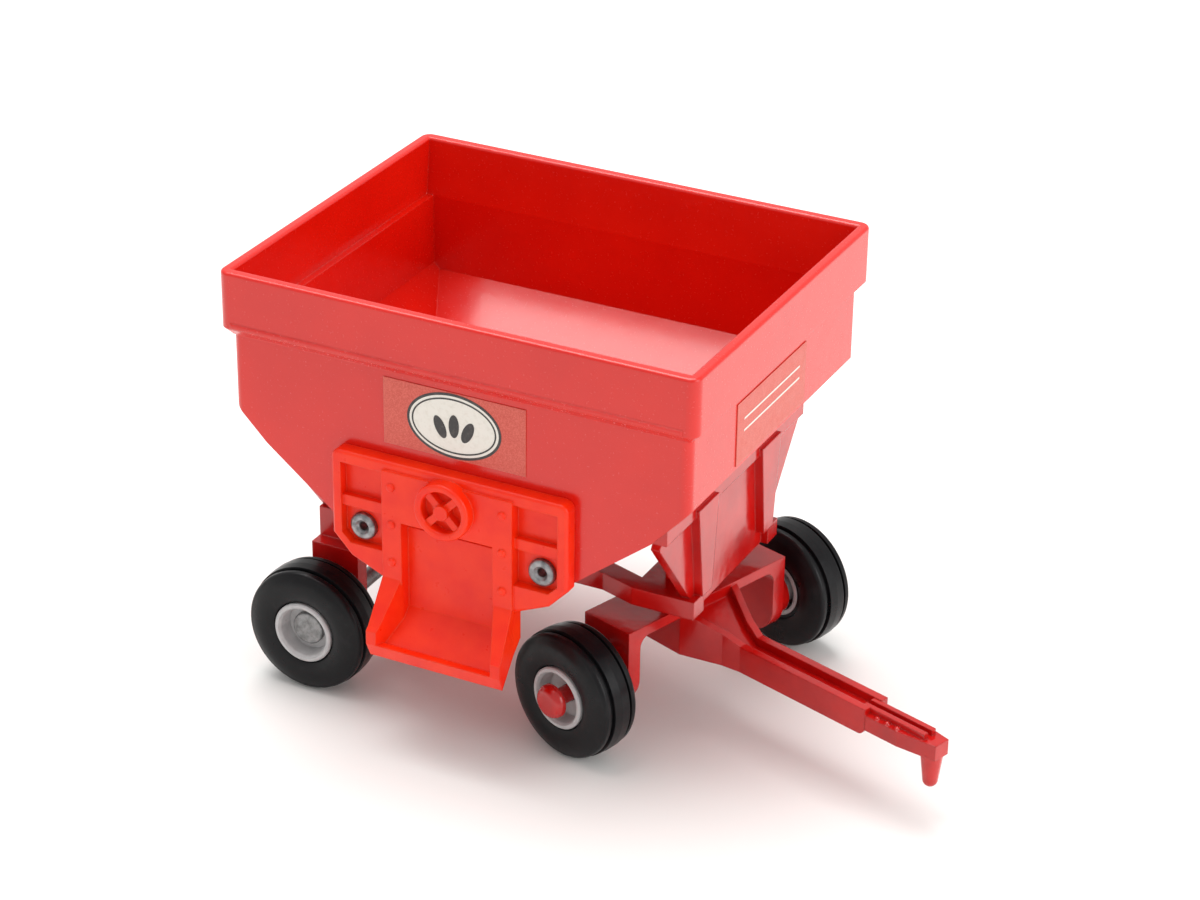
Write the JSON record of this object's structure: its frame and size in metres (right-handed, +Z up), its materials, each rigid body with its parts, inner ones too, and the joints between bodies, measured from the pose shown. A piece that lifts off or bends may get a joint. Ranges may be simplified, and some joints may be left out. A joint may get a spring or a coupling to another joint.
{
  "type": "gravity wagon",
  "caption": "Toy gravity grain wagon: tapered hopper with a flared rim, side unloading chute with a tray, steering front axle with drawbar, and wheels that roll.",
  "frame": {"origin": "centre of the wagon's bounding box, on the ground under the tyres", "axes": "+X forwards towards the drawbar, +Y to the wagon's left, away from the chute, +Z up"},
  "size_m": [0.0764, 0.0466, 0.0481],
  "materials": {
    "hopper_paint": "satin",
    "chassis_paint": "gloss",
    "chute_plastic": "satin",
    "zinc_rivet": "satin",
    "steel": "satin",
    "sticker": "satin",
    "rim_plastic": "satin",
    "tyre_rubber": "satin"
  },
  "bodies": {
    "wagon_body": {"hopper": "hopper_paint", "chute_panel": "chute_plastic", "chute_eyelet_front": "zinc_rivet", "chute_eyelet_rear": "zinc_rivet", "side_sticker": "sticker", "front_sticker": "sticker", "chassis": "chassis_paint", "body_screws_front": "steel", "body_screws_rear": "steel", "kingpin": "steel", "kingpin_washer": "steel", "rear_axle": "steel"},
    "steering_axle": {"front_axle": "chassis_paint"},
    "front_left_wheel": {"front_left_rim": "rim_plastic", "front_left_tyre": "tyre_rubber"},
    "front_right_wheel": {"front_right_rim": "rim_plastic", "front_right_tyre": "tyre_rubber"},
    "rear_left_wheel": {"rear_left_rim": "rim_plastic", "rear_left_tyre": "tyre_rubber"},
    "rear_right_wheel": {"rear_right_rim": "rim_plastic", "rear_right_tyre": "tyre_rubber"}
  },
  "joints": [
    {"name": "steering", "type": "hinge", "parent": "wagon_body", "child": "steering_axle", "pos_m": [0.00468, 0.00194, 0.01], "axis": [0, 0, 1], "range_deg": [-21.7, 58.3]},
    {"name": "front_left_wheel_spin", "type": "hinge", "parent": "steering_axle", "child": "front_left_wheel", "pos_m": [0.0098, 0.01743, 0.007], "axis": [0.314, 0.9494, 0], "continuous": true},
    {"name": "front_right_wheel_spin", "type": "hinge", "parent": "steering_axle", "child": "front_right_wheel", "pos_m": [-0.00045, -0.01356, 0.007], "axis": [0.314, 0.9494, 0], "continuous": true},
    {"name": "rear_left_wheel_spin", "type": "hinge", "parent": "wagon_body", "child": "rear_left_wheel", "pos_m": [-0.03092, 0.01826, 0.007], "axis": [0, 1, 0], "continuous": true},
    {"name": "rear_right_wheel_spin", "type": "hinge", "parent": "wagon_body", "child": "rear_right_wheel", "pos_m": [-0.03092, -0.01439, 0.007], "axis": [0, 1, 0], "continuous": true}
  ]
}
